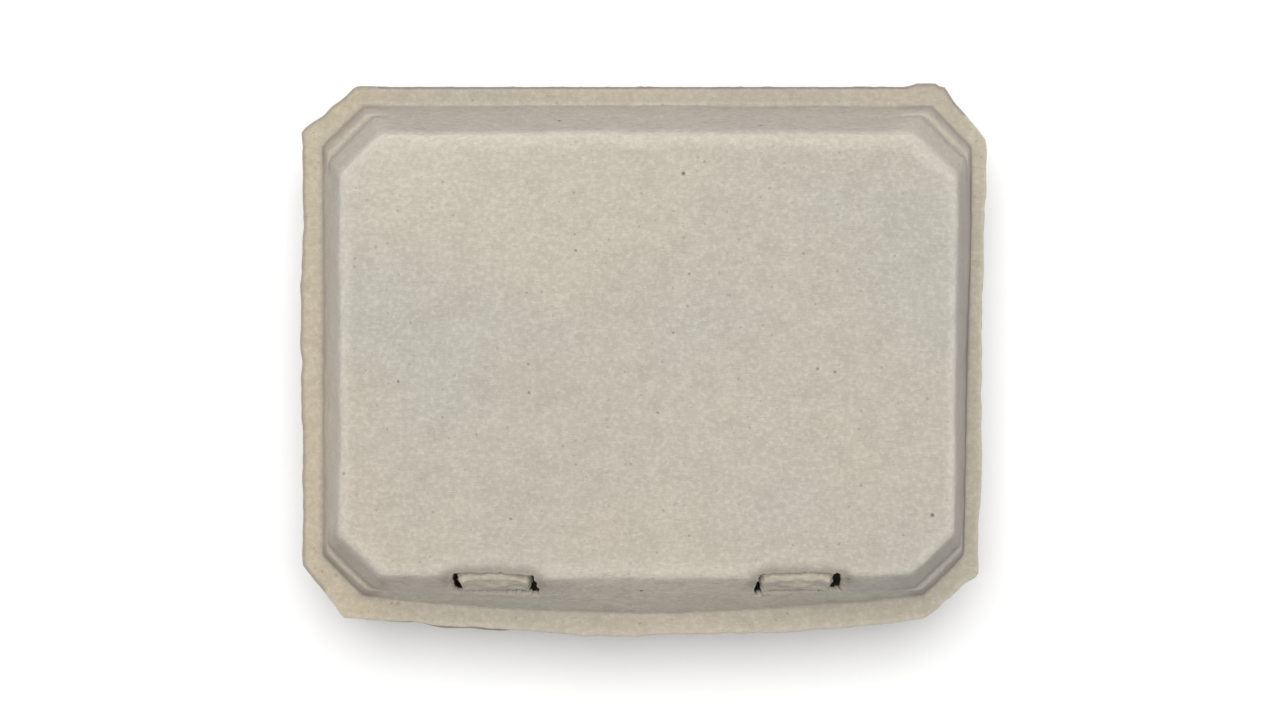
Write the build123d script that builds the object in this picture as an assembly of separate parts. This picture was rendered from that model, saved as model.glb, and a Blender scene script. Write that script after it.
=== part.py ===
from build123d import *
import os
from math import atan2, degrees, hypot, sqrt

# Moulded paper-pulp egg carton, closed. Millimetres, Z up, X along the long side, hinge at +Y.

# Egg cells, which set the carton's length and depth
columns = 4
rows = 3
pitch = 48.0              # between cell middles, both ways
side_margin = 15.5        # from the outermost cells' pitch squares to the rim's edge
front_margin = 20.0       # the same to the middle of the bowed front
back_margin = 16.0        # the same to the rim's ears at the hinge
web_width = 5.0           # flat of the web between two cells
cell_floor = 27.0         # flat floor of a cell
cell_corner = 13.0        # corner radius of a cell at the web
cell_round = 4.0          # rounding between a cell's walls and floor
web_height = 28.0         # ground to the upper side of the web
basin_gap = 4.0           # web between the outermost cells and the wall around them
basin_bow = 0.9           # bow of that wall's foot at the front

# Overall
tray_height = 40.0        # ground to the parting plane
lid_height = 30.0         # parting plane to the flat top
sheet = 2.0               # pulp thickness
play = 0.15               # each rim stands this far off the parting plane and the crease line

# Rim
side_rim = 7.2            # flat rim outside the walls
back_rim = 6.6
front_rim = 7.6
front_bow = 5.5           # how far the middle of the front edge stands out past its ends
rim_clip = 17.0           # clipped corners, measured along each side
ear_width = 8.0           # rim beyond each end of the crease
ear_reach = 1.3           # how far those ends stand out past the crease

# Lid
side_run = 10.8           # how far each side wall leans in over its height
back_run = 12.4
front_run = 10.6          # at the ends of the front wall, the bow adds to it in the middle
top_bow = 0.8
wall_clip = 15.0
shoulder = 3.5            # rounding between the walls and the top
step_height = 9.0         # stacking step in each clipped corner
step_reach = 1.4
step_margin = 0.4         # the step's side faces stay this far inside the walls
step_block = 30.0         # how far back from the corner its solid runs

# Posts between the cells, hollow from below
post_foot = 9.0           # radius where a post leaves the web
post_tip = 4.6            # radius at its top
post_round = 0.6          # share of the tip's radius taken by its rounding
post_room = 9.0           # from the post's top to the lid's

# Locks on the front, one column pitch to either side of the middle
window_width = 29.6
window_height = 17.6
window_drop = 2.4         # from the lid's top to the window's upper edge
window_round = 2.0
tab_width = 20.4          # raised tab in the middle of the window's lower edge
tab_height = 7.5
tongue_width = 20.0
tongue_drop = 3.0         # from the window's upper edge to the tongue's
tongue_lean = 4.4         # height of the stretch that leans back at the tongue's top
tongue_nose = 1.6         # how far it leans back
tongue_gap = 0.7          # clear space between the tongue and the tab over the whole swing
root_thick = 3.0          # tongue at its foot
root_block = 20.0         # how far out its solid runs before the wall trims it

# Worked out from the above
length = columns * pitch + 2 * side_margin
depth = rows * pitch + front_margin + back_margin
cell_shift = (front_margin - back_margin) / 2
cell_width = pitch - web_width
rim_top = tray_height - play
rim_low = rim_top - sheet
lid_rim = tray_height + play
top = tray_height + lid_height
web_low = web_height - sheet
half_length = length / 2
crease_y = depth / 2 - ear_reach
front_end_y = -depth / 2 + front_bow
wall_x = half_length - side_rim
wall_back = crease_y - back_rim
wall_front = front_end_y + front_rim
wall_skin = sheet * hypot(side_run, lid_height) / lid_height
cell_run = (cell_width - cell_floor) / 2
cell_skin = sheet * hypot(cell_run, web_low) / web_low
window_high = top - window_drop
window_low = window_high - window_height
tab_top = window_low + tab_height
tongue_top = window_high - tongue_drop
tongue_bend = tongue_top - tongue_lean
cell_x = [pitch * (i - (columns - 1) / 2) for i in range(columns)]
cell_y = [cell_shift + pitch * (i - (rows - 1) / 2) for i in range(rows)]
post_x = [(a + b) / 2 for a, b in zip(cell_x, cell_x[1:])]
post_y = [(a + b) / 2 for a, b in zip(cell_y, cell_y[1:])]
lock_x = [-pitch, pitch]


def outline(half_x, back, front, bow, clip):
    """Clipped rectangle with an arc along the front. `front` is where the arc ends."""
    side = half_x - clip
    corners = [(side, front), (half_x, front + clip), (half_x, back - clip), (side, back)]
    corners = corners + [(-x, y) for x, y in reversed(corners)]
    loop = Polyline(*corners)
    loop = loop + ThreePointArc((-side, front), (0, front - bow), (side, front))
    return make_face(loop)


def rise_of(height):
    """Share of the lid's height at which a level lies."""
    return (height - tray_height) / lid_height


def bow_of(rise):
    return front_bow + (top_bow - front_bow) * rise


def wall_section(height, inset):
    """The lid's wall outline at one height, drawn in by `inset`."""
    rise = rise_of(height)
    return outline(
        wall_x - side_run * rise - inset,
        wall_back - back_run * rise - inset,
        wall_front + front_run * rise + inset,
        bow_of(rise),
        wall_clip,
    )


def between(low_face, low, high_face, high):
    """Solid with straight walls from one flat outline to another above it."""
    return loft([Pos(0, 0, low) * low_face, Pos(0, 0, high) * high_face], ruled=True)


def wall_solid(inset, low, high):
    """The space inside the lid's walls between two heights."""
    return between(wall_section(low, inset), low, wall_section(high, inset), high)


def rim_plate(low, high):
    """Flat rim, filled in, up to the crease at the back."""
    face = outline(half_length, crease_y - play, front_end_y, front_bow, rim_clip)
    return Pos(0, 0, low) * extrude(face, high - low)


def crease_ends(reach, margin, low, high):
    """Blocks at both ends of the crease, `reach` to either side of it."""
    ends = half_length - rim_clip
    block = Pos(ends - ear_width / 2, crease_y, low) * Box(
        ear_width + 2 * margin, 2 * reach, high - low,
        align=(Align.CENTER, Align.CENTER, Align.MIN),
    )
    return block + mirror(block, Plane.YZ)


def at_each(shape, xs, ys):
    return [Pos(x, y, 0) * shape for x in xs for y in ys]


def cell(skin, floor):
    """One cell as a solid: its hollow for a skin of 0, else its outside."""
    width = cell_width + 2 * skin
    face = RectangleRounded(width, width, cell_corner + skin)
    slant = degrees(atan2(cell_run, web_low))
    body = Pos(0, 0, web_height) * extrude(face, web_height - floor, dir=(0, 0, -1), taper=slant)
    foot = body.faces().sort_by(Axis.Z)[0].edges()
    return fillet(foot, cell_round)


def lid_windows():
    """The slots that the tongues come through, each with a leg down both sides of a raised tab."""
    def opening(width, low):
        return Pos(0, wall_front + front_run + 4 * sheet, low) * Box(
            width, 4 * front_run, window_high - low, align=(Align.CENTER, Align.MAX, Align.MIN)
        )

    slot = fillet(opening(window_width, window_low).edges().filter_by(Axis.Y), window_round)
    tab = opening(tab_width, 0) - Pos(0, 0, tab_top) * opening(tab_width, 0)
    return at_each(slot - tab, lock_x, [0])


def step_face(height, inset, front):
    """Outline across one clipped corner, a little outside the wall there."""
    rise = rise_of(height)
    x = wall_x - side_run * rise - step_margin - inset
    y = wall_back - back_run * rise - step_margin - inset
    way = -1
    if front:
        y = wall_front + front_run * rise + step_margin + inset
        way = 1
    clip = wall_clip - sqrt(2) * step_reach - step_margin
    return make_face(Polyline(
        (x - step_block, y), (x - clip, y), (x, y + way * clip),
        (x, y + way * step_block), (x - step_block, y + way * step_block), close=True
    ))


def corner_steps(inset, low):
    """Blocks across the lid's corners, up to the stacking step."""
    high = lid_rim + step_height
    right = [
        between(step_face(low, inset, front), low, step_face(high, inset, front), high)
        for front in (True, False)
    ]
    return right + [mirror(step, Plane.YZ) for step in right]


def make_lid():
    outer = wall_solid(0, lid_rim, top)
    upper = outer.faces().sort_by(Axis.Z)[-1].edges()
    body = fillet(upper, shoulder) + corner_steps(0, lid_rim)
    body = body + rim_plate(lid_rim, lid_rim + sheet)
    body = body + crease_ends(ear_reach, 0, lid_rim, lid_rim + sheet)
    below = lid_rim - sheet
    body = body - wall_solid(wall_skin, below, top - sheet) - corner_steps(wall_skin, below)
    return body - lid_windows()


def make_basin(inset, low):
    """The space above the cells, opening out to the rim, grown by `inset`."""
    half_x = cell_x[-1] + cell_width / 2 + basin_gap
    back = cell_y[-1] + cell_width / 2 + basin_gap
    front = cell_y[0] - cell_width / 2 - basin_gap
    floor = outline(half_x + inset, back + inset, front - inset, basin_bow, wall_clip)
    return between(floor, low, wall_section(tray_height, wall_skin - inset), tray_height)


def post(inset, low):
    """Cone between four cells."""
    height = top - post_room - inset - low
    cone = Pos(0, 0, low + height / 2) * Cone(post_foot - inset, post_tip - inset, height)
    tip = cone.edges().sort_by(Axis.Z)[-1]
    return fillet(tip, post_round * (post_tip - inset))


def tab_edge():
    """Y of the inner upper edge of a window's raised tab, where it is nearest the tongue."""
    rise = rise_of(tab_top)
    reach = wall_x - side_run * rise - wall_clip
    x = lock_x[-1] + tab_width / 2
    return wall_front + front_run * rise + wall_skin - bow_of(rise) * (1 - (x / reach) ** 2)


def tongue():
    """Lock tongue and the thick root that it stands on, at the middle of the front."""
    edge = tab_edge()
    swing = hypot(crease_y - edge, tab_top - tray_height)
    bend_y = crease_y - sqrt(swing ** 2 - (tongue_bend - tray_height) ** 2) + tongue_gap
    slope = (bend_y - edge - tongue_gap) / (tongue_bend - tab_top)
    rim_y = bend_y - slope * (tongue_bend - rim_top)
    foot_y = bend_y - slope * (tongue_bend - web_height)
    nose = hypot(tongue_nose, tongue_lean) / sheet
    back_y = tongue_lean / nose
    back_z = tongue_nose / nose
    plate = make_face(Plane.YZ * Polyline(
        (foot_y, web_height), (bend_y, tongue_bend), (bend_y + tongue_nose, tongue_top),
        (bend_y + tongue_nose + back_y, tongue_top - back_z), (bend_y + sheet, tongue_bend - back_z / 2),
        (foot_y + root_thick, web_height), close=True
    ))
    root = make_face(Plane.YZ * Polyline(
        (foot_y - root_block, web_height), (foot_y - root_block, rim_top), (rim_y + sheet, rim_top),
        (foot_y + root_thick, web_height), close=True
    ))
    blade = extrude(plate, tongue_width / 2, both=True)
    return blade, extrude(root, tongue_width / 2 + sheet, both=True)


def make_tray():
    shell = make_basin(wall_skin, web_low)
    blade, root = tongue()
    locks = at_each(blade, lock_x, [0])
    locks = locks + [shell & r for r in at_each(root, lock_x, [0])]
    above_rim = Pos(0, 0, rim_low) * Box(
        2 * length, 2 * depth, 2 * sheet, align=(Align.CENTER, Align.CENTER, Align.MIN)
    )
    notches = crease_ends(ear_reach + 2 * play, 3 * play, rim_low, rim_top)
    body = shell - above_rim + at_each(cell(cell_skin, 0), cell_x, cell_y)
    body = body + (rim_plate(rim_low, rim_top) - notches)
    body = body - make_basin(0, web_height) - at_each(cell(0, sheet), cell_x, cell_y)
    posts = at_each(post(0, web_height - sheet / 2), post_x, post_y)
    cores = at_each(post(sheet, web_low - sheet / 2), post_x, post_y)
    return body + posts + locks - cores


os.makedirs("parts", exist_ok=True)
export_step(make_tray(), "parts/tray.step")
export_step(make_lid(), "parts/lid.step")
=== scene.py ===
import math
import bpy
import numpy as np
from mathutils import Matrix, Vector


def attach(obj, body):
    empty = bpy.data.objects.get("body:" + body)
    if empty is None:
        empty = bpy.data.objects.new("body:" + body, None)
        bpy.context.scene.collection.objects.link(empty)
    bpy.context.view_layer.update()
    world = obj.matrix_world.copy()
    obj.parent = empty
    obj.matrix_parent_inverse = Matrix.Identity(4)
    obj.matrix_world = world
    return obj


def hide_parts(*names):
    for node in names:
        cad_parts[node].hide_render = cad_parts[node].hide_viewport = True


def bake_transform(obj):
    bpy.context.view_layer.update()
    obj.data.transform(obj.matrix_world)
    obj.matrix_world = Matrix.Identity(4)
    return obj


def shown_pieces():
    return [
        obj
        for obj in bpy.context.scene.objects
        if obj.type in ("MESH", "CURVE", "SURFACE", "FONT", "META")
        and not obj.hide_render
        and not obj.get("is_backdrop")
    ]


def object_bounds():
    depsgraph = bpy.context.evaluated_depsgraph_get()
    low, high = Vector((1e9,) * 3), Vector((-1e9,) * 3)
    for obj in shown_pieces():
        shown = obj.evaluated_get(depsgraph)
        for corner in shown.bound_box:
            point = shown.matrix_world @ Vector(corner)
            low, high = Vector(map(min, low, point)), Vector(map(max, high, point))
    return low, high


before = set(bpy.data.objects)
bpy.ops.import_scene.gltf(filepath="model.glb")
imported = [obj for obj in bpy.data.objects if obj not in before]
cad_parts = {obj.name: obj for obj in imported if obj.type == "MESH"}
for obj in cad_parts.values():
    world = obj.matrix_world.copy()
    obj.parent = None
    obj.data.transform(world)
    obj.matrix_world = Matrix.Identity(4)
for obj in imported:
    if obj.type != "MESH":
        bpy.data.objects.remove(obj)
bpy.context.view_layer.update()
print("loaded", sorted(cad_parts))

# lengths below are millimetres, turned to metres when a mesh is made
crease = dict(y=88.7, z=40.0, end=86.0, gap=0.12)


def smooth(value, low, high):
    # 0 below low, 1 above high, an S curve between them
    part = np.clip((value - low) / (high - low), 0, 1)
    return part * part * (3 - 2 * part)


def bell(value, middle, width):
    # 1 at the middle, falling as e to the minus square of the distance over the width
    return np.exp(-((value - middle) / width) ** 2)


def waves(points, size, seed, count=22):
    # sum of cosines along random directions, each wave between 0.65 and 1.5 times size long, evened to
    # unit spread
    rng = np.random.default_rng(seed)
    way = rng.normal(size=(count, 3))
    way /= np.linalg.norm(way, axis=1)[:, None]
    turn = way * (2 * math.pi / (size * rng.uniform(0.65, 1.5, count)))[:, None]
    return np.cos(points @ turn.T + rng.uniform(0, 2 * math.pi, count)).sum(1) * math.sqrt(2 / count)


def stepped(low, high, coarse, fine, spots, reach):
    # values from low to high, `fine` apart within `reach` of each spot and `coarse` apart elsewhere
    line = np.linspace(low, high, 4000)
    near = np.max([1 - smooth(np.abs(line - spot), reach, reach * 1.5) for spot in spots], axis=0)
    count = np.cumsum(1 / (coarse + (fine - coarse) * near)) * (high - low) / 4000
    return np.interp(np.linspace(count[0], count[-1], int(count[-1])), count, line)


def wrappedGrid(s, t, rings):
    # a rectangle of points, wrapped in closed rings that carry its border outwards
    # s and t run -1 to 1; returns each point's s, t and ring number, and the four-sided faces
    across, along = np.meshgrid(s, t)
    number = np.arange(across.size).reshape(across.shape)
    loop = np.concatenate([number[0, :-1], number[:-1, -1], number[-1, :0:-1], number[:0:-1, 0]])
    rows = np.vstack([loop, across.size + np.arange(rings * len(loop)).reshape(rings, -1)])
    middle = np.stack([number[:-1, :-1], number[:-1, 1:], number[1:, 1:], number[1:, :-1]], -1).reshape(-1, 4)
    after = np.roll(rows, -1, axis=1)
    around = np.stack([rows[:-1], rows[1:], after[1:], after[:-1]], -1).reshape(-1, 4)
    sAll = np.concatenate([across.ravel(), np.tile(across.ravel()[loop], rings)])
    tAll = np.concatenate([along.ravel(), np.tile(along.ravel()[loop], rings)])
    ring = np.concatenate([np.zeros(across.size, int), np.repeat(np.arange(1, rings + 1), len(loop))])
    return sAll, tAll, ring, np.vstack([middle, around])


def clippedPlace(s, t, halfX, front, back, bow, clip, soften, uneven=0.0):
    # s and t stretched to the rectangle, then each corner block folded in by half the clip, which cuts it at
    # 45 degrees; the fold starts softly, so the corners are round. The front edge is drawn out by a parabola,
    # `bow` at the middle.
    # `uneven` turns the cuts a little: longer along x at the back left and front right, shorter at the other
    # two, and nearly twice as much on the left
    halfY, midY = (back - front) / 2, (back + front) / 2
    x, y = s * halfX, t * halfY
    turn = uneven * -np.sign(s * t)
    leftMore = np.where(s < 0, 1.7, 1.0)
    clipX, clipY = clip * (1 + turn * leftMore), clip * (1 - turn)

    def fold(value, half, size):
        over = (np.abs(value) - (half - size)) / size
        return np.where(over < -soften, 0, np.where(over > soften, over, (over + soften) ** 2 / (4 * soften)))

    inward = fold(x, halfX, clipX) * fold(y, halfY, clipY) / 2
    x = x - np.sign(x) * inward * clipX
    y = y - np.sign(y) * inward * clipY + midY
    arch = np.clip(1 - (x / (halfX - clip)) ** 2, 0, 1)
    return x, y - bow * arch * np.clip(-t, 0, 1) ** 6


def makeMesh(name, points, faces, attributes):
    # points in millimetres; each attribute is one number a point
    mesh = bpy.data.meshes.new(name)
    mesh.from_pydata((points * 0.001).tolist(), [], faces.tolist())
    mesh.polygons.foreach_set("use_smooth", np.ones(len(mesh.polygons), bool))
    for key, values in attributes.items():
        mesh.attributes.new(key, "FLOAT", "POINT").data.foreach_set("value", values.astype(np.float32))
    mesh.update()
    piece = bpy.data.objects.new(name, mesh)
    bpy.context.scene.collection.objects.link(piece)
    return piece


def makeSheet(name, outer, inner, faces, attributes, body, softness):
    # two skins over one grid; every open edge of the outer is joined to the inner by a band that bulges by
    # `softness` of the thickness, which leaves a closed sheet with soft torn edges
    total = len(outer)
    start, end = faces.ravel(), np.roll(faces, -1, axis=1).ravel()
    free = ~np.isin(start * total + end, end * total + start)
    start, end = start[free], end[free]
    thick = outer - inner
    away = np.cross(outer[end] - outer[start], thick[start])
    away /= np.linalg.norm(away, axis=1)[:, None] + 1e-9
    push = np.zeros_like(outer)
    np.add.at(push, start, away)
    np.add.at(push, end, away)
    rim = np.unique(start)
    push = push[rim] / (np.linalg.norm(push[rim], axis=1)[:, None] + 1e-9)
    size = np.linalg.norm(thick[rim], axis=1)[:, None]
    place = np.zeros(total, int)
    place[rim] = np.arange(len(rim))
    levels, extra = [np.arange(total)], []
    for share, bulge in ((0.14, 0.7), (0.5, 1.0), (0.86, 0.7)):
        levels.append(2 * total + len(extra) * len(rim) + place)
        extra.append(outer[rim] - thick[rim] * share + push * size * softness * bulge)
    levels.append(total + np.arange(total))
    bands = [np.stack([a[end], a[start], b[start], b[end]], -1) for a, b in zip(levels, levels[1:])]
    allPoints = np.vstack([outer, inner] + extra)
    allFaces = np.vstack([faces, faces[:, ::-1] + total] + bands)
    used, compact = np.unique(allFaces, return_inverse=True)
    values = {k: np.concatenate([v, v] + [v[rim]] * 3)[used] for k, v in attributes.items()}
    torn = np.concatenate([np.zeros(2 * total), np.ones(3 * len(rim))])
    torn[rim] = torn[total + rim] = 0.6
    values["torn"] = torn[used]
    piece = makeMesh(name, allPoints[used], compact.reshape(-1, 4), values)
    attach(piece, body)
    return piece


def corner(startE, startZ, radius, first, last, steps, hollow=False):
    # arc of a profile in the plane of outward e and up z, starting at a point, from one tilt of its normal to
    # another (from upright, in radians); a hollow arc has its centre on the outside
    tilt = np.linspace(first, last, steps)
    side = -1 if hollow else 1
    centreE = startE - side * radius * math.sin(first)
    centreZ = startZ - side * radius * math.cos(first)
    return np.stack([centreE + side * radius * np.sin(tilt), centreZ + side * radius * np.cos(tilt),
                     np.sin(tilt), np.cos(tilt)], -1)


def straight(startE, startZ, endE, endZ, where, tilt):
    # points at shares `where` along a straight stretch of the same kind of profile
    where = np.asarray(where)
    return np.stack([startE + (endE - startE) * where, startZ + (endZ - startZ) * where,
                     np.full(len(where), math.sin(tilt)), np.full(len(where), math.cos(tilt))], -1)


# the lid
lid = dict(
    # heights, the wall's slope (run outwards over drop) and the sheet; what passes `height` is pressed
    top=69.75, rimZ=42.15, run=11.4, drop=30.0, thick=1.95, height=69.2, press=0.75,
    # half width, back and front of the top, how far each wall runs outwards, and the rim's edge
    topX=93.5, topBack=69.0, topFront=-66.3, sideRun=10.8, backRun=14.2, frontRun=10.6,
    edgeX=110.75, edgeBack=88.5, edgeFront=-84.0, rimWide=8.0, bowTop=0.8, bowRim=5.4,
    # bend radii, then the corner cuts at the top, the wall's foot and the rim
    shoulder=3.3, foot=1.0, topClip=12.6, clip=15.0, rimClip=15.8, soften=0.05, softenTop=0.12, uneven=0.10,
    # how far the right side stands out, less at the wall's foot and the rim, and leans in towards the front
    rightOut=3.5, rightWall=0.8, rightRim=2.2, leanTop=1.3, leanFoot=1.5,
    # stacking step at the corners, roll along the crease, ears (end, right and left reach), edge
    stepZ=49.4, stepReach=1.3, stepSoft=0.55, roll=1.75, rollDrop=1.7, ears=(95.5, 0.9, 0.2),
    ripple=0.35, softEdge=0.28,
    # lock windows and the raised tab in each, measured outwards from the edge of the top
    lockX=48.0, lockShift=1.2, slotHalf=14.4, slotOut=6.4, slotIn=-1.0, slotNarrow=1.3,
    tabHalf=10.9, tabOut=5.7)

lean = math.atan2(lid["run"], lid["drop"])
wallTilt = math.pi / 2 - lean
reachTop = lid["shoulder"] * math.tan(wallTilt / 2)
reachFoot = lid["foot"] * math.tan(wallTilt / 2)
footE = (lid["top"] - lid["rimZ"]) * math.tan(lean)
wallLow = (footE - reachFoot * math.sin(lean), lid["rimZ"] + reachFoot * math.cos(lean))
wallHigh = (reachTop * math.sin(lean), lid["top"] - reachTop * math.cos(lean))
wallShares = np.interp(np.linspace(0, 1, 33), [0, 0.5, 0.74, 1], [0, 0.59, 0.75, 1])
rimWide = lid["rimWide"]
profile = np.vstack([
    straight(-10, lid["top"], -reachTop, lid["top"], np.linspace(0, 1, 9)[:-1], 0),
    corner(-reachTop, lid["top"], lid["shoulder"], 0, wallTilt, 9),
    straight(*wallHigh, *wallLow, wallShares[1:-1], wallTilt),
    corner(*wallLow, lid["foot"], wallTilt, 0, 6, hollow=True),
    straight(footE + reachFoot, lid["rimZ"], footE + rimWide, lid["rimZ"], np.linspace(0, 1, 10)[1:], 0)])

# points lie closer together across the two locks
lockS = lid["lockX"] / 92
s = stepped(-1, 1, 1.55 / 90, 0.62 / 90, [-lockS, lockS], 15.5 / 92)
t = np.linspace(-1, 1, 84)
s, t, ring, faces = wrappedGrid(s, t, len(profile) - 1)
e, z, outward, upward = profile[ring].T
wall = np.minimum(e, footE) / lid["run"]
rim = np.maximum(e - footE, 0) / rimWide


def lidSkin(inset, pull):
    # the profile carried round the clipped outline: `inset` draws a skin in along the profile's normal,
    # and `pull` is how far the rim's edge stands back, in millimetres
    foot = footE / lid["run"]
    share = rim - pull / rimWide * smooth(rim, 0.25, 1.0)
    draw = inset * outward

    def line(topPlace, run, edge):
        footPlace = topPlace + run * foot
        return topPlace + run * wall + (edge - footPlace) * share

    # the stacking step: below it the clipped corner stands out by stepReach
    ledge = smooth(-z, -lid["stepZ"] - lid["stepSoft"], -lid["stepZ"] + lid["stepSoft"]) * (1 - rim)
    clip = lid["topClip"] + (lid["clip"] - lid["topClip"]) * wall + (lid["rimClip"] - lid["clip"]) * rim \
        - 0.586 * draw - 1.414 * lid["stepReach"] * ledge
    x, y = clippedPlace(
        s, t, line(lid["topX"], lid["sideRun"], lid["edgeX"]) - draw,
        -line(-lid["topFront"], lid["frontRun"], -lid["edgeFront"]) + draw,
        line(lid["topBack"], lid["backRun"], lid["edgeBack"]) - draw,
        lid["bowTop"] + (lid["bowRim"] - lid["bowTop"]) * (wall * 1.18 - rim * 0.085), clip,
        lid["soften"] + lid["softenTop"] * (1 - wall) * (wall < 1), lid["uneven"] * rim)
    # the right side stands out a little, and leans in again towards the front
    leanIn = (lid["leanTop"] + lid["leanFoot"] * wall) * smooth(-y, -70, 80)
    x = x + smooth(x, 55, 92) * (lid["rightOut"] - lid["rightWall"] * wall - lid["rightRim"] * rim - leanIn)
    return np.stack([x, y, z - inset * upward], -1)


flat = lidSkin(0 * z, 0 * z)
# dents and waves of the whole sheet, the panel a little sunk inside a low bead, and a faint groove behind the
# front edge
soft = 0.16 * waves(flat, 62, 3) + 0.10 * waves(flat, 24, 4) + 0.055 * waves(flat, 9, 5)
fine = 0.045 * waves(flat, 3.6, 6)
panel = -0.35 * np.clip(1 - s * s, 0, 1) * np.clip(1 - t * t, 0, 1)
bead = 0.42 * bell(e, -reachTop - 0.9, 0.9) - 0.24 * bell(e, -reachTop - 4.4, 0.8) * (t < -0.999)
ripple = lid["ripple"] * waves(flat * [1, 1, 0.2], 44, 7) * smooth(rim, 0.2, 1)
# how far the torn rim stands back, in waves of three lengths
deckle = 0.85 + 0.3 * waves(flat, 40, 8) + 0.16 * waves(flat, 13, 9) + 0.09 * waves(flat, 6.5, 10)
deckle = np.clip(deckle, 0, 2.0)
# along the crease the edge is even, and the ears at both ends of it stand out
atBack = smooth(t, 0.995, 1.0) * smooth(-np.abs(flat[:, 0]), -crease["end"] - 0.8, -crease["end"] + 0.4)
earEnd, earRight, earLeft = lid["ears"]
ear = smooth(t, 0.995, 1.0) * smooth(np.abs(flat[:, 0]), crease["end"], crease["end"] + 1.2) \
    * smooth(-np.abs(flat[:, 0]), -earEnd, -earEnd + 1.5)
deckle = deckle * (1 - atBack) - ear * np.where(flat[:, 0] > 0, earRight, earLeft) * (1 + deckle * 0.3)
shape = np.where(e < -reachTop + 0.01, panel + bead, 0) + soft * (1 - 0.5 * rim) * (1 - atBack * rim) + fine
outer = lidSkin(-shape, deckle)
inner = lidSkin(lid["thick"] - shape + fine + 0.06 * waves(flat, 3.0, 12), deckle)
# what stands above the set height is pressed together: the excess becomes press times the hyperbolic
# tangent of excess over press
over = np.maximum(outer[:, 2] - lid["height"], 0)
outer[:, 2] += lid["press"] * np.tanh(over / lid["press"]) - over
# the crease edge rolls down over its last part: height falls along a quarter circle
roll = lid["roll"]
for skin, drop in ((outer, lid["rollDrop"]), (inner, 0.0)):
    past = np.clip((skin[:, 1] - (crease["y"] - 0.2 - roll)) / roll, 0, 1)
    skin[:, 2] += (1 - atBack) * ripple - atBack * drop * (1 - np.sqrt(1 - past ** 2 * 0.98))
# no point of the rim hangs below the crease
lift = np.minimum(inner[:, 2] - (crease["z"] + crease["gap"]), 0) * (z < lid["rimZ"] + 0.01)
inner[:, 2] -= lift
outer[:, 2] -= lift


def slotDepth(x, out):
    # under 0 inside a window, in x and the distance outwards from the edge of the top: a slot with round
    # corners that narrows towards the top, less the raised tab in the middle of its lower edge
    along = np.abs(np.abs(x - lid["lockShift"]) - lid["lockX"])
    up = np.clip((lid["slotOut"] - out) / (lid["slotOut"] - lid["slotIn"]), 0, 1)
    sides = (along - (lid["slotHalf"] - lid["slotNarrow"] * up ** 2)) * 0.6
    ends = np.maximum(lid["slotIn"] + 0.5 * (along / 14) ** 2 - out, out - lid["slotOut"])
    slot = np.where((sides > -1) & (ends > -1), np.hypot(sides + 1, ends + 1) - 1, np.maximum(sides, ends))
    tabArch = 0.3 * (1 - (along / lid["tabHalf"]) ** 2)
    tab = np.maximum((along - lid["tabHalf"]) * 0.6, lid["tabOut"] - out + tabArch)
    place = np.stack([x, 2.5 * out, 0 * x], -1)
    return np.maximum(slot, -tab) + 0.08 * waves(place, 4.5, 13) + 0.10 * waves(place, 1.8, 14)


depth = np.where((t < -0.999) & (ring > 0) & (np.abs(flat[:, 1]) > 60), slotDepth(flat[:, 0], e), 9.0)
cutAway = depth[faces].mean(1) < 0
edgeOf = np.intersect1d(np.unique(faces[cutAway]), np.unique(faces[~cutAway]))
# points round a window move along the sheet onto its outline, by depth over slope
edgeX, edgeE = flat[edgeOf, 0], e[edgeOf]
slopeX = (slotDepth(edgeX + 0.1, edgeE) - slotDepth(edgeX - 0.1, edgeE)) / 0.2
slopeE = (slotDepth(edgeX, edgeE + 0.1) - slotDepth(edgeX, edgeE - 0.1)) / 0.2
move = np.clip(-slotDepth(edgeX, edgeE) / (slopeX ** 2 + slopeE ** 2 + 0.05), -0.45, 0.45)
fall = outward[edgeOf] / np.maximum(upward[edgeOf], 0.3)
shift = np.stack([move * slopeX, -move * slopeE, -move * slopeE * fall], -1)
outer[edgeOf] += shift
inner[edgeOf] += shift
# painted shade, as strengths of the crease colour: on the walls, by side as the light falls, the shadow line
# at their foot, the rim, the shadowed torn edge, the crease edge, round the windows, and at the step at the
# corners
press = dict(wall=0.4, back=0.6, frontLeft=0.05, corner=0.35, right=0.3, rightFoot=0.35,
             footLeft=0.65, footRight=0.9, footBack=0.05, footFront=0.12, footCorner=0.7, footWide=1.1,
             rim=0.15, rimBack=0.12, crease=0.9, torn=2.2, lock=1.1, step=0.5)
# the left side, which is painted lighter as if lit from the left
litLeftSide = smooth(-flat[:, 0], 70, 98)
cornerFace = smooth(np.abs(flat[:, 0]) + np.abs(flat[:, 1] - 1.7) - 23 * wall, 141.5, 146.5)
onWall = smooth(wall, 0.03, 0.25) * (1 - smooth(rim, 0, 0.08))
sides = (t > 0.999, t < -0.999, s < -0.999, s > 0.999)
onBack, onFront, onLeft, onRight = [mask * (1 - cornerFace) for mask in sides]
# a yellower tint, the pulp's own colour on the rim; more of it on the left side is painted light, since it
# lightens the sheet there
warm = smooth(rim, 0.0, 0.5) * (0.45 + 0.5 * litLeftSide) \
    + (0.15 + 0.35 * litLeftSide) * smooth(wall, 0.1, 0.4) * (1 - smooth(rim, 0, 0.5))
# painted shade on the walls: darker at the back, on the right and on the corner faces, a little lighter at
# the front and left, as the light falls; the right wall darkens towards its foot
shade = onWall * (press["wall"] + press["back"] * onBack - press["frontLeft"] * (onFront + onLeft)
                  + press["corner"] * cornerFace + onRight * (press["right"] + press["rightFoot"] * wall))
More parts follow.
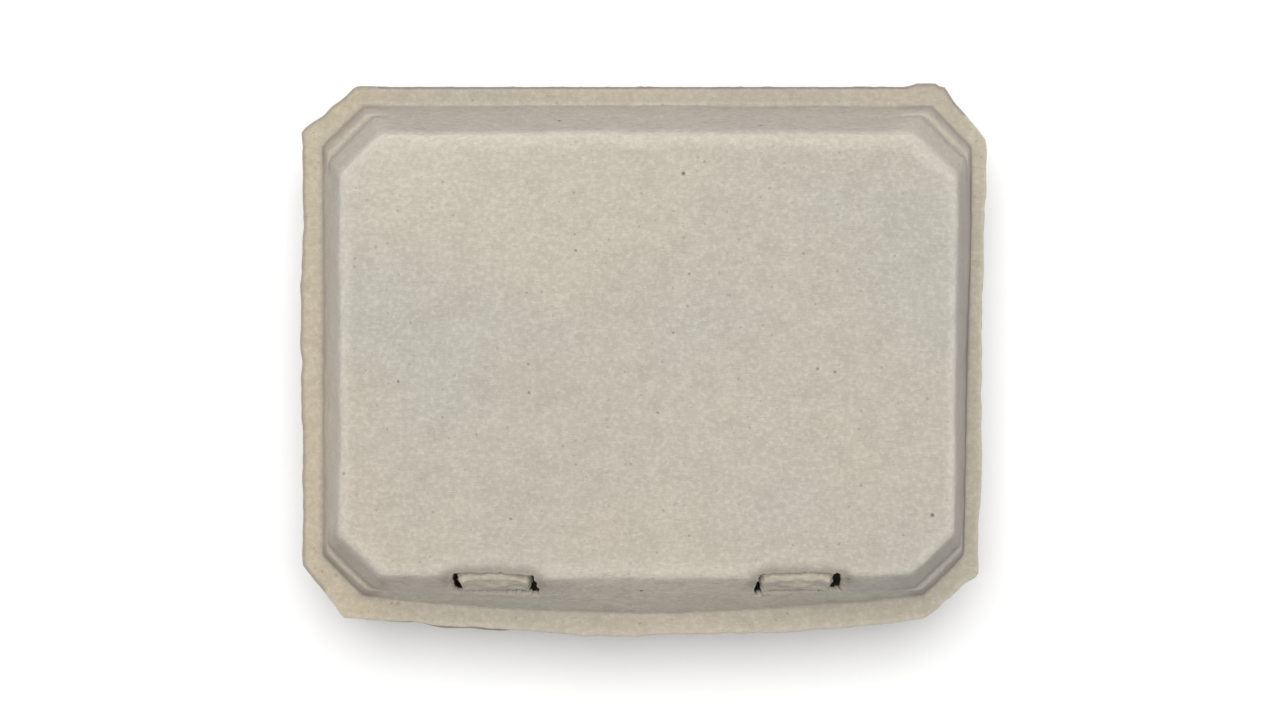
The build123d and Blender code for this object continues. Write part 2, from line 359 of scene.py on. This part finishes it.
# painted shade: a dark line along the foot of each wall, strongest on the right, the left and the corners
footShadow = bell(e, footE - 0.1, press["footWide"])
shade = shade + footShadow * (press["footLeft"] * onLeft + press["footRight"] * onRight
                            + press["footBack"] * onBack + press["footFront"] * onFront
                            + press["footCorner"] * cornerFace)
# painted shade: the rim is darker except on the lit left side, a little more at the back, and dark along the
# crease edge's shadowed face
shade = shade + smooth(rim, 0.1, 0.3) * (press["rim"] * (1 - litLeftSide) + press["rimBack"] * (t > 0.999)) \
    + press["crease"] * atBack * smooth(flat[:, 1], 87.2, 88.2)
# painted shadow: the torn edge is dark along the back and the left, as the shadow in the gap over the tray's
# rim on the sides away from the light, and painted shade lies grey round the upper part of each window
shade = shade + press["torn"] * smooth(rim, 0.86, 0.98) * np.maximum(t > 0.999, s < -0.999)
shade = shade + press["lock"] * bell(depth, 0.1, 1.5) * (1 - smooth(e, 1.5, 5.5))
# painted shade on the steep corner face above the stacking step, and a painted highlight along the ledge
# itself
ledgeHighlight = bell(z, lid["stepZ"] - 0.1, 0.5) * cornerFace
shade = shade + press["step"] * bell(z, lid["stepZ"] + 2.2, 1.6) * cornerFace - press["step"] * ledgeHighlight
# painted light: the top is lighter towards its back left corner
paintedLightCorner = smooth(-flat[:, 0], 10, 90) * smooth(flat[:, 1], 10, 75) * (wall < 0.1)
# pale fibre: painted highlights on the shoulder, the ledge, the top's back left corner and the left rim, the
# rim's edge partly wear and partly painted highlight, kept clear round the windows
wearAndHighlight = np.clip(bell(e, -1.2, 1.8) + 0.5 * smooth(rim, 0.75, 0.9) + 0.45 * ledgeHighlight + 0.9 * paintedLightCorner
               + 0.25 * litLeftSide * smooth(rim, 0, 0.2) - 1.5 * bell(depth, 0, 1.6), 0, 1)
lidPiece = makeSheet("lidShell", outer, inner, faces[~cutAway], dict(warm=warm, shade=shade, wearAndHighlight=wearAndHighlight),
                     "lid", lid["softEdge"])
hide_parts("lid")
print("lid", len(lidPiece.data.polygons))

# the tray
tray = dict(
    # cells: pitch, square core, floor and web with their distances from the core; posts between four cells
    pitch=48.0, shiftY=2.0, core=8.5, floorR=5.0, webR=13.0, floorZ=2.0, webZ=28.0,
    postFoot=9.0, postTip=4.4, postTop=60.6,
    # the wall's foot, its mouth and the rim's edge
    rimZ=39.85, thick=1.95, floorX=97.5, floorBack=75.5, floorFront=-71.5, floorBow=0.9, floorClip=13.0,
    mouthX=102.2, mouthBack=79.9, mouthFront=-74.8, mouthClip=15.0,
    edgeX=110.75, edgeBack=88.5, edgeFront=-84.0, rimWide=9.0, bow=5.4, rimClip=15.8,
    wallLean=4.6, floorRound=2.4, rimRound=2.6, soften=0.06, uneven=0.10,
    # recess behind the tongues, the right edge, the notches under the lid's ears, edge
    lockRecess=3.0, rightRim=0.5, leanRim=2.8, notchEnd=96.5, notchDeep=2.4, ripple=0.35, softEdge=0.28)


def softMax(a, b, reach):
    # the larger of two heights, with the inner corner between them rounded over `reach`
    part = np.clip(reach - np.abs(a - b), 0, reach) / reach
    return np.maximum(a, b) + part ** 2 * reach / 4


def cellHeight(x, y):
    # distance from a square core in each cell sets the height: floor, then a straight wall, then the web
    # between cells; both bends are rounded, and a steep cone rises at each meeting of four cells
    px = (x / tray["pitch"]) % 1 * tray["pitch"] - tray["pitch"] / 2
    py = ((y - tray["shiftY"]) / tray["pitch"] + 0.5) % 1 * tray["pitch"] - tray["pitch"] / 2
    inColumn = np.abs(x) < 2 * tray["pitch"]
    inRow = np.abs(y - tray["shiftY"]) < 1.5 * tray["pitch"]
    px = np.where(inColumn, px, np.abs(x) - 1.5 * tray["pitch"])
    py = np.where(inRow, py, np.abs(y - tray["shiftY"]) - tray["pitch"])
    away = np.hypot(np.maximum(np.abs(px) - tray["core"], 0), np.maximum(np.abs(py) - tray["core"], 0))
    slope = (tray["webZ"] - tray["floorZ"]) / (tray["webR"] - tray["floorR"])
    side = tray["floorZ"] + (away - tray["floorR"]) * slope
    height = softMax(side, np.full_like(side, tray["floorZ"]), 7.0)
    height = -softMax(-height, np.full_like(side, -tray["webZ"]), 6.5)
    gapX = np.abs(np.abs(np.abs(x) - tray["pitch"] / 2) - tray["pitch"] / 2)
    gapY = np.abs(np.abs(y - tray["shiftY"]) - tray["pitch"] / 2)
    distance = np.hypot(gapX, gapY)
    rise = (tray["postTop"] - tray["webZ"]) / (tray["postFoot"] - tray["postTip"])
    cone = tray["webZ"] + (tray["postFoot"] - distance) * rise
    cone = -softMax(-cone, np.full_like(cone, -tray["postTop"]), 9.0)
    cone = np.where((gapX < 20) & (gapY < 20) & (np.abs(x) < 70), cone, -50)
    return softMax(height, cone, 6.0)


leanT = math.atan2(tray["wallLean"], tray["rimZ"] - tray["webZ"])
tiltT = math.pi / 2 - leanT
backFloor = tray["floorRound"] * math.tan(tiltT / 2)
backRim = tray["rimRound"] * math.tan(tiltT / 2)
topE = (tray["rimZ"] - tray["webZ"]) * math.tan(leanT)
lowPoint = (backFloor * math.sin(leanT), tray["webZ"] + backFloor * math.cos(leanT))
highPoint = (topE - backRim * math.sin(leanT), tray["rimZ"] - backRim * math.cos(leanT))
rimT = tray["rimWide"]
profile = np.vstack([
    straight(-1.9, tray["webZ"], -backFloor, tray["webZ"], [0.0], 0),
    corner(-backFloor, tray["webZ"], tray["floorRound"], 0, -tiltT, 6, hollow=True),
    straight(*lowPoint, *highPoint, np.linspace(0, 1, 9)[1:-1], -tiltT),
    corner(*highPoint, tray["rimRound"], -tiltT, 0, 6),
    straight(topE + backRim, tray["rimZ"], topE + rimT, tray["rimZ"], np.linspace(0, 1, 9)[1:], 0)])
# points lie closer together where the posts stand
postS, postT = tray["pitch"] / 95.6, tray["pitch"] / 2 / 71.5
s = stepped(-1, 1, 1.7 / 95, 0.62 / 95, [-postS, 0, postS], 9.5 / 95.6)
t = stepped(-1, 1, 1.7 / 71, 0.62 / 71, [-postT, postT], 9.5 / 71.5)
s, t, ring, faces = wrappedGrid(s, t, len(profile) - 1)
e, z, outward, upward = profile[ring].T
wall = np.clip(e, None, topE) / topE
rim = np.maximum(e - topE, 0) / rimT


def traySkin(inset, pull):
    # the same for the tray's wall and rim; inside the first ring the height comes from the cells
    share = rim - pull / rimT * smooth(rim, 0.25, 1.0)
    draw = -inset * outward

    def line(floorPlace, mouthPlace, edge):
        return floorPlace + (mouthPlace - floorPlace) * wall + (edge - mouthPlace) * share

    clip = tray["floorClip"] + (tray["mouthClip"] - tray["floorClip"]) * wall \
        + (tray["rimClip"] - tray["mouthClip"]) * rim
    bow = tray["floorBow"] + (tray["bow"] - tray["floorBow"]) * np.clip(wall, 0, 1)
    x, y = clippedPlace(
        s, t, line(tray["floorX"], tray["mouthX"], tray["edgeX"]) + draw,
        -line(-tray["floorFront"], -tray["mouthFront"], -tray["edgeFront"]) - draw,
        line(tray["floorBack"], tray["mouthBack"], tray["edgeBack"]) + draw, bow, clip + 0.586 * draw,
        tray["soften"], tray["uneven"] * rim)
    # the front wall stands in behind each lock tongue
    y = y + tray["lockRecess"] * np.clip(wall, 0, 1) * (1 - smooth(rim, 0, 0.35)) * (t < -0.999) \
        * smooth(-np.abs(np.abs(x) - tray["pitch"]), -13.5, -10.5)
    # the right edge follows the lid's
    x = x + smooth(x, 55, 92) * rim * (tray["rightRim"] - tray["leanRim"] * smooth(-y, -70, 80))
    return np.stack([x, y, z - inset * upward], -1)


flat = traySkin(0 * z, 0 * z)
soft = 0.14 * waves(flat, 50, 23) + 0.1 * waves(flat, 18, 24) + 0.05 * waves(flat, 7, 25)
fine = 0.05 * waves(flat, 3.4, 26)
deckle = 0.9 + 0.25 * waves(flat, 31, 28) + 0.16 * waves(flat, 11, 29) + 0.1 * waves(flat, 6, 30)
deckle = np.clip(deckle, 0, 2.0)
atBack = smooth(t, 0.995, 1.0) * smooth(-np.abs(flat[:, 0]), -crease["end"] - 0.6, -crease["end"] + 0.4)
notch = smooth(t, 0.995, 1.0) * smooth(np.abs(flat[:, 0]), crease["end"] - 0.6, crease["end"] + 0.4) \
    * smooth(-np.abs(flat[:, 0]), -tray["notchEnd"], -tray["notchEnd"] + 1.0)
deckle = deckle * (1 - atBack) + notch * tray["notchDeep"]
outer = traySkin(-(soft + fine) * (1 - 0.6 * rim), deckle)
inner = traySkin(tray["thick"] - soft, deckle)
# inside the rings both skins follow the cell heights; the lower one stands off by the thickness along the
# normal
cells = ring == 0
cellX, cellY = flat[cells, 0], flat[cells, 1]
step = 0.12
slopeX = (cellHeight(cellX + step, cellY) - cellHeight(cellX - step, cellY)) / (2 * step)
slopeY = (cellHeight(cellX, cellY + step) - cellHeight(cellX, cellY - step)) / (2 * step)
normal = np.stack([-slopeX, -slopeY, np.ones_like(cellX)], -1)
normal /= np.linalg.norm(normal, axis=1)[:, None]
base = np.stack([cellX, cellY, cellHeight(cellX, cellY)], -1)
rough = (0.13 * waves(base, 30, 31) + 0.08 * waves(base, 10, 32) + 0.05 * waves(base, 3.6, 33))[:, None]
outer[cells] = base + normal * rough
inner[cells] = base - normal * (tray["thick"] - rough * 0.7)
inner[:, 2] = np.maximum(inner[:, 2], 0.0)
outer[:, 2] = np.maximum(outer[:, 2], inner[:, 2] + 1.2)
ripple = -tray["ripple"] * np.abs(waves(flat * [1, 1, 0.2], 40, 34)) * smooth(rim, 0.3, 1)
for skin, rise in ((outer, 0.0), (inner, lid["rollDrop"])):
    past = np.clip((skin[:, 1] - (crease["y"] - 0.2 - roll)) / roll, 0, 1)
    skin[:, 2] += (1 - atBack) * ripple + atBack * rise * (1 - np.sqrt(1 - past ** 2 * 0.98))
# and no point of the tray's rim stands above it
top = np.where(rim > 0, crease["z"] - crease["gap"], 99)
low = np.minimum(top - outer[:, 2], 0)
outer[:, 2] += low
inner[:, 2] += low
warm = smooth(rim, 0.0, 0.5) * 0.6 + 0.3 * (1 - smooth(rim, 0, 0.5))
# painted shade: a dark line where the cells' web meets the wall, and painted shadow along the rim's edge,
# where it peeks out under the lid's rim
shade = 0.8 * bell(e, 0, 1.2) * (ring > 0) + 1.3 * smooth(rim, 0.86, 0.98)
trayPiece = makeSheet("trayShell", outer, inner, faces, dict(warm=warm, shade=shade, wearAndHighlight=0 * rim), "tray",
                      tray["softEdge"])
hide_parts("tray")
print("tray", len(trayPiece.data.polygons))

# the two lock tongues, which are part of the tray's sheet
tongue = dict(middle=(-46.4, 47.8), half=10.2, lowHalf=9.4, narrow=0.14, flangeWide=0.9, flangeDeep=3.0,
              thick=1.6, hollow=0.9, ragged=0.35,
              # the front face, as shares of its length with y and z
              share=[0, 0.36, 0.46, 0.52, 0.86, 0.93, 1], y=[-72.1, -70.6, -72.2, -72.7, -68.3, -67.3, -65.4],
              z=[34.0, 52.8, 54.9, 55.8, 66.4, 67.3, 67.3])
u = np.linspace(-1.2, 1.2, 49)
v = np.linspace(0, 1, 47)
u, v = [a.ravel() for a in np.meshgrid(u, v)]
# past the leaf's sides the sheet turns back as a narrow flange
flange = np.clip((np.abs(u) - 1) / 0.2, 0, 1)
u = np.clip(u, -1, 1)
number = np.arange(u.size).reshape(47, 49)
faces = np.stack([number[:-1, :-1], number[:-1, 1:], number[1:, 1:], number[1:, :-1]], -1).reshape(-1, 4)
for side in (-1, 1):
    # front face: steep up to the tab, out over the tab's edge as a hook, then leaning back to close the
    # window
    height = np.interp(v, tongue["share"], tongue["z"])
    back = np.interp(v, tongue["share"], tongue["y"]) \
        + tongue["flangeDeep"] * flange ** 1.4 * smooth(v, 0.3, 0.5)
    wide = tongue["lowHalf"] + (tongue["half"] - tongue["lowHalf"]) * smooth(v, 0.4, 0.5)
    wide = wide * (1 - tongue["narrow"] * smooth(v, 0.75, 0.95) ** 2)
    x = tongue["middle"][side > 0] + u * (wide + tongue["flangeWide"] * flange)
    tilt = np.interp(v, [0, 0.5, 0.86, 0.95], [0.1, 0.35, 0.45, 1.5])
    place = np.stack([x, back, height], -1)
    # the leaf's sides stand back, and a short groove runs across its middle
    groove = np.exp(-(u / 0.5) ** 4) * (v > 0.55)
    dent = 0.12 * waves(place, 9, 40 + side) + 0.06 * waves(place, 3.2, 43 + side) \
        + tongue["hollow"] * u ** 4 * smooth(v, 0.45, 0.55) \
        + tongue["hollow"] * bell(back, -70.2, 0.5) * groove
    ragged = tongue["ragged"] * waves(place, 3.0, 46 + side) * flange
    height = height + 0.2 * waves(place, 4.0, 48 + side) * smooth(v, 0.5, 0.6) \
        - 1.0 * u ** 4 * smooth(v, 0.85, 0.95)
    outer = np.stack([x + ragged, back - dent, height], -1)
    inward = np.stack([0 * u, np.cos(tilt), -np.sin(tilt)], -1)
    inner = outer + inward * (tongue["thick"] + 0.08 * waves(place, 5, 52 + side))[:, None]
    # painted shade: the leaf is darkened where it sits back in the window, and darker again along its groove;
    # its upper part is painted lighter as a painted highlight
    piece = makeSheet("lockTongue" + "LR"[side > 0], outer, inner, faces,
                      dict(warm=0 * u + 0.5, shade=0.3 + 0.5 * bell(back, -70.2, 0.6) * (v > 0.55),
                           wearAndHighlight=0.4 * smooth(v, 0.5, 0.55)), "tray", 0.3)
print("tongues")

# the skin of the crease, a curved strip between tray and lid
# painted shadow: shade darkens the whole fold, whose outer face is turned from the light
web = dict(end=86.3, inY=1.0, outY=0.95, high=1.9, thick=0.9, thin=0.5, sweep=1.25,
           warm=0.5, shade=1.7, wearAndHighlight=0.2)
u = np.linspace(-1, 1, 150)
v = np.linspace(-1, 1, 13)
u, v = [a.ravel() for a in np.meshgrid(u, v)]
number = np.arange(u.size).reshape(13, 150)
faces = np.stack([number[:-1, :-1], number[:-1, 1:], number[1:, 1:], number[1:, :-1]], -1).reshape(-1, 4)
turn = v * web["sweep"]
x = u * web["end"]
place = np.stack([x, 0 * x, turn], -1)
# part of an upright ellipse, centred `inY` inside the crease line and reaching `outY` back from there
rough = 0.07 * waves(place, 7, 60) + 0.05 * waves(place, 2.2, 61)
outer = np.stack([x, crease["y"] - web["inY"] + web["outY"] * np.cos(turn) + rough,
                  crease["z"] + web["high"] * np.sin(turn)], -1)
inner = np.stack([x, crease["y"] - web["inY"] + (web["outY"] - web["thick"]) * np.cos(turn),
                  crease["z"] + (web["high"] - web["thin"]) * np.sin(turn)], -1)
total = len(outer)
start, end = faces.ravel(), np.roll(faces, -1, axis=1).ravel()
free = ~np.isin(start * total + end, end * total + start)
band = np.stack([end[free], start[free], start[free] + total, end[free] + total], -1)
# seen from behind, x runs to the left, so these faces are turned to look outwards
allFaces = np.vstack([faces, faces[:, ::-1] + total, band])[:, ::-1]
webPiece = makeMesh("creaseSkin", np.vstack([outer, inner]), allFaces,
                    dict(warm=np.full(2 * total, web["warm"]), shade=np.full(2 * total, web["shade"]),
                         wearAndHighlight=np.full(2 * total, web["wearAndHighlight"]), torn=np.zeros(2 * total)))
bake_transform(webPiece)
print("crease")


# the material's helpers
def linear(code):
    # sRGB hex to linear colour
    part = np.array([int(code[i:i + 2], 16) for i in (0, 2, 4)]) / 255
    return (*np.where(part <= 0.04045, part / 12.92, ((part + 0.055) / 1.055) ** 2.4), 1.0)


def node(tree, kind, settings=(), links=()):
    # adds one node, sets its properties and inputs, then links (input, other node, output)
    made = tree.nodes.new(kind)
    for key, value in dict(settings).items():
        if isinstance(key, str) and hasattr(made, key):
            setattr(made, key, value)
        else:
            made.inputs[key].default_value = value
    for key, other, output in links:
        tree.links.new(other.outputs[output], made.inputs[key])
    return made


def mixColour(tree, share, first, second, blend="MIX"):
    # first and second are hex codes or (node, output); share is a number or (node, output)
    made = tree.nodes.new("ShaderNodeMix")
    made.data_type, made.blend_type, made.clamp_factor = "RGBA", blend, True
    for key, value in ((0, share), (6, first), (7, second)):
        if isinstance(value, tuple):
            tree.links.new(value[0].outputs[value[1]], made.inputs[key])
        else:
            made.inputs[key].default_value = linear(value) if isinstance(value, str) else value
    return made, 2


def grade(tree, source, low, high, outLow=0.0, outHigh=1.0, kind="SMOOTHSTEP"):
    made = node(tree, "ShaderNodeMapRange",
                {"interpolation_type": kind, 1: low, 2: high, 3: outLow, 4: outHigh}, [(0, *source)])
    return made, 0


def math2(tree, what, first, second):
    made = tree.nodes.new("ShaderNodeMath")
    made.operation = what
    for key, value in ((0, first), (1, second)):
        if isinstance(value, tuple):
            tree.links.new(value[0].outputs[value[1]], made.inputs[key])
        else:
            made.inputs[key].default_value = value
    return made, 0


# crease is the colour towards which painted shade and shadow are mixed; pale also carries painted highlights
pulp = dict(base="C4BDAF", cool="BDBAAE", pink="C5B9AC", warm="C3B699", dark="857C6D", fleck="403C37",
            pale="D8D3C6", crease="7A6D68", torn="C6BDAC",
            # cell size in mm, share of the cells left empty, radius as a share of the cell, darkness
            flecks=((3.4, 0.70, 0.17, 0.26), (5.0, 0.80, 0.125, 0.50), (2.2, 0.80, 0.15, 0.28),
                    (13.0, 0.80, 0.065, 0.7)),
            bump=0.85, bumpMetres=0.00042)


def makePulp():
    mat = bpy.data.materials.new("mouldedRecycledPulp")
    mat.use_nodes = True
    tree = mat.node_tree
    tree.nodes.clear()
    place = node(tree, "ShaderNodeTexCoord")

    def noise(millimetres, detail=2.0, rough=0.5, source=None, offset=0.0, twist=0.0):
        shifted = node(tree, "ShaderNodeMapping", {"Location": (offset, offset * 0.7, -offset)},
                       [("Vector", *(source or (place, "Object")))])
        return node(tree, "ShaderNodeTexNoise",
                    {"Scale": 1000 / millimetres, "Detail": detail, "Roughness": rough, "Distortion": twist},
                    [("Vector", shifted, 0)])

    def fibres(length, width, turn, offset, twist=0.6):
        # noise drawn out along one direction, bent by its own distortion: single strands lying in the felt
        drawn = node(tree, "ShaderNodeMapping",
                     {"Rotation": turn, "Scale": (1000 / length, 1000 / width, 1000 / width),
                      "Location": (offset,) * 3},
                     [("Vector", place, "Object")])
        return node(tree, "ShaderNodeTexNoise", {"Scale": 1.0, "Detail": 1.0, "Distortion": twist},
                    [("Vector", drawn, 0)])

    # broad clouds: grey green and pinkish beige, as de-inked fibre settles unevenly on the mould
    clouds = noise(110, 2.0, 0.5, offset=1.3)
    blush = noise(80, 2.0, 0.5, offset=7.1)
    colour = mixColour(tree, grade(tree, (clouds, 0), 0.42, 0.62), pulp["base"], pulp["cool"])
    colour = mixColour(tree, grade(tree, (blush, 0), 0.50, 0.68, 0, 0.38), colour, pulp["pink"])
    warmth = node(tree, "ShaderNodeAttribute", {"attribute_name": "warm"})
    colour = mixColour(tree, math2(tree, "MULTIPLY", (warmth, "Fac"), 0.75), colour, pulp["warm"])
    # formation: flocks of fibre a few millimetres across, lighter and darker
    flock = noise(6.5, 3.0, 0.6, offset=3.7)
    colour = mixColour(tree, grade(tree, (flock, 0), 0.40, 0.72, 0.0, 0.14), colour, pulp["dark"])
    felt = noise(1.5, 3.0, 0.65, offset=2.2)
    colour = mixColour(tree, grade(tree, (felt, 0), 0.36, 0.66, 0.16, 0.0), colour, pulp["dark"])
    colour = mixColour(tree, grade(tree, (felt, 0), 0.50, 0.74, 0.0, 0.22), colour, pulp["pale"])
    # strands, light ones and a few dark ones
    strands = [fibres(4.5, 0.30, (0, 0, 0.4), 3.0), fibres(3.6, 0.28, (0.2, 0, 1.9), 9.0),
               fibres(5.0, 0.34, (0, 0.2, 2.8), 15.0)]
    for strand in strands:
        colour = mixColour(tree, grade(tree, (strand, 0), 0.62, 0.70, 0.0, 0.12), colour, pulp["pale"])
        colour = mixColour(tree, grade(tree, (strand, 0), 0.29, 0.34, 0.10, 0.0), colour, pulp["dark"])
    # flecks of ink and bark: one point per cell of a scattered pattern, and only some cells show one
    for size, share, radius, depth in pulp["flecks"]:
        wobble = noise(0.9, 2.0, 0.5, offset=size)
        bent = node(tree, "ShaderNodeVectorMath", {"operation": "MULTIPLY_ADD", 1: (0.0007,) * 3},
                    [(0, wobble, "Color"), (2, place, "Object")])
        dots = node(tree, "ShaderNodeTexVoronoi", {"Scale": 1000 / size}, [("Vector", bent, 0)])
        near = grade(tree, (dots, "Distance"), radius * 0.3, radius * 1.1, 1.0, 0.0)
        chosen = node(tree, "ShaderNodeSeparateColor", {}, [(0, dots, "Color")])
        shown = grade(tree, (chosen, 0), share, share + 0.04)
        speck = math2(tree, "MULTIPLY", near, shown)
        colour = mixColour(tree, math2(tree, "MULTIPLY", speck, depth), colour, pulp["fleck"])
    # painted shade and shadow: the shade attribute mixes in the crease colour; the next attribute mixes in
    # pale fibre, partly as wear and partly as painted highlight; torn edges show loose pale fibre
    shadeOf = node(tree, "ShaderNodeAttribute", {"attribute_name": "shade"})
    wearAndHighlightOf = node(tree, "ShaderNodeAttribute", {"attribute_name": "wearAndHighlight"})
    tornOf = node(tree, "ShaderNodeAttribute", {"attribute_name": "torn"})
    colour = mixColour(tree, math2(tree, "MULTIPLY", (shadeOf, "Fac"), 0.45), colour, pulp["crease"])
    loose = math2(tree, "MULTIPLY", (wearAndHighlightOf, "Fac"), (felt, 0))
    colour = mixColour(tree, math2(tree, "MULTIPLY", loose, 0.55), colour, pulp["pale"])
    colour = mixColour(tree, math2(tree, "MULTIPLY", (tornOf, "Fac"), 0.45), colour, pulp["torn"])

    # height: lumps of the felt, fine nap and strands standing a little proud
    lumps = math2(tree, "MULTIPLY", (flock, 0), 0.9)
    nap = math2(tree, "MULTIPLY", (felt, 0), 0.42)
    height = math2(tree, "ADD", lumps, nap)
    hair = noise(0.55, 2.0, 0.6, offset=4.4)
    height = math2(tree, "ADD", height, math2(tree, "MULTIPLY", (hair, 0), 0.12))
    for strand in strands:
        height = math2(tree, "ADD", height, grade(tree, (strand, 0), 0.56, 0.70, 0.0, 0.16))
    bump = node(tree, "ShaderNodeBump", {"Strength": pulp["bump"], "Distance": pulp["bumpMetres"]},
                [("Height", *height)])
    dull = grade(tree, (felt, 0), 0.3, 0.7, 0.86, 0.98)
    shader = node(tree, "ShaderNodeBsdfPrincipled",
                  {"Specular IOR Level": 0.22, "Sheen Weight": 0.12, "Sheen Roughness": 0.6,
                   "Diffuse Roughness": 0.6},
                  [("Base Color", *colour), ("Roughness", *dull), ("Normal", bump, 0)])
    node(tree, "ShaderNodeOutputMaterial", {}, [("Surface", shader, 0)])
    return mat


pulpMaterial = makePulp()
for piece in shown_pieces():
    if not piece.name.startswith(("lidShell", "trayShell", "lockTongue", "creaseSkin")):
        continue
    piece.data.materials.clear()
    piece.data.materials.append(pulpMaterial)
print("material")

# floor, light and camera
studio = dict(floor="FDFDFD", floorZ=-0.0003, world=0.31, key=13.2, keySize=0.8, keyPlace=(-0.02, 0.24, 1.13),
              lens=53.97, cameraPlace=(-0.001, 0.0, 0.663))
bpy.ops.mesh.primitive_plane_add(size=6, location=(0, 0, studio["floorZ"]))
floor = bpy.context.object
floor.name = "floor"
floorMaterial = bpy.data.materials.new("paleBacking")
floorMaterial.use_nodes = True
shader = floorMaterial.node_tree.nodes["Principled BSDF"]
shader.inputs["Base Color"].default_value = linear(studio["floor"])
shader.inputs["Roughness"].default_value = 0.9
shader.inputs["Specular IOR Level"].default_value = 0.1
floor.data.materials.append(floorMaterial)
floor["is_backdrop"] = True

world = bpy.data.worlds.new("studio")
world.use_nodes = True
world.node_tree.nodes["Background"].inputs[0].default_value = (1.0, 1.0, 1.0, 1.0)
world.node_tree.nodes["Background"].inputs[1].default_value = studio["world"]
bpy.context.scene.world = world


def softLight(name, place, aim, size, power):
    data = bpy.data.lights.new(name, "AREA")
    data.size, data.energy = size, power
    lamp = bpy.data.objects.new(name, data)
    bpy.context.scene.collection.objects.link(lamp)
    lamp.location = place
    way = np.array(aim) - np.array(place)
    tip = math.acos(-way[2] / np.linalg.norm(way))
    lamp.rotation_euler = (tip, 0, math.atan2(way[1], way[0]) - math.pi / 2)


softLight("key", studio["keyPlace"], (0, 0, 0), studio["keySize"], studio["key"])
bpy.context.scene.view_settings.view_transform = "Standard"

camera = bpy.data.objects.new("camera", bpy.data.cameras.new("camera"))
bpy.context.scene.collection.objects.link(camera)
camera.data.sensor_width = 36.0
camera.data.lens = studio["lens"]
camera.location = studio["cameraPlace"]
bpy.context.scene.camera = camera

low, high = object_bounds()
print("size", [round(v, 4) for v in low], [round(v, 4) for v in high])
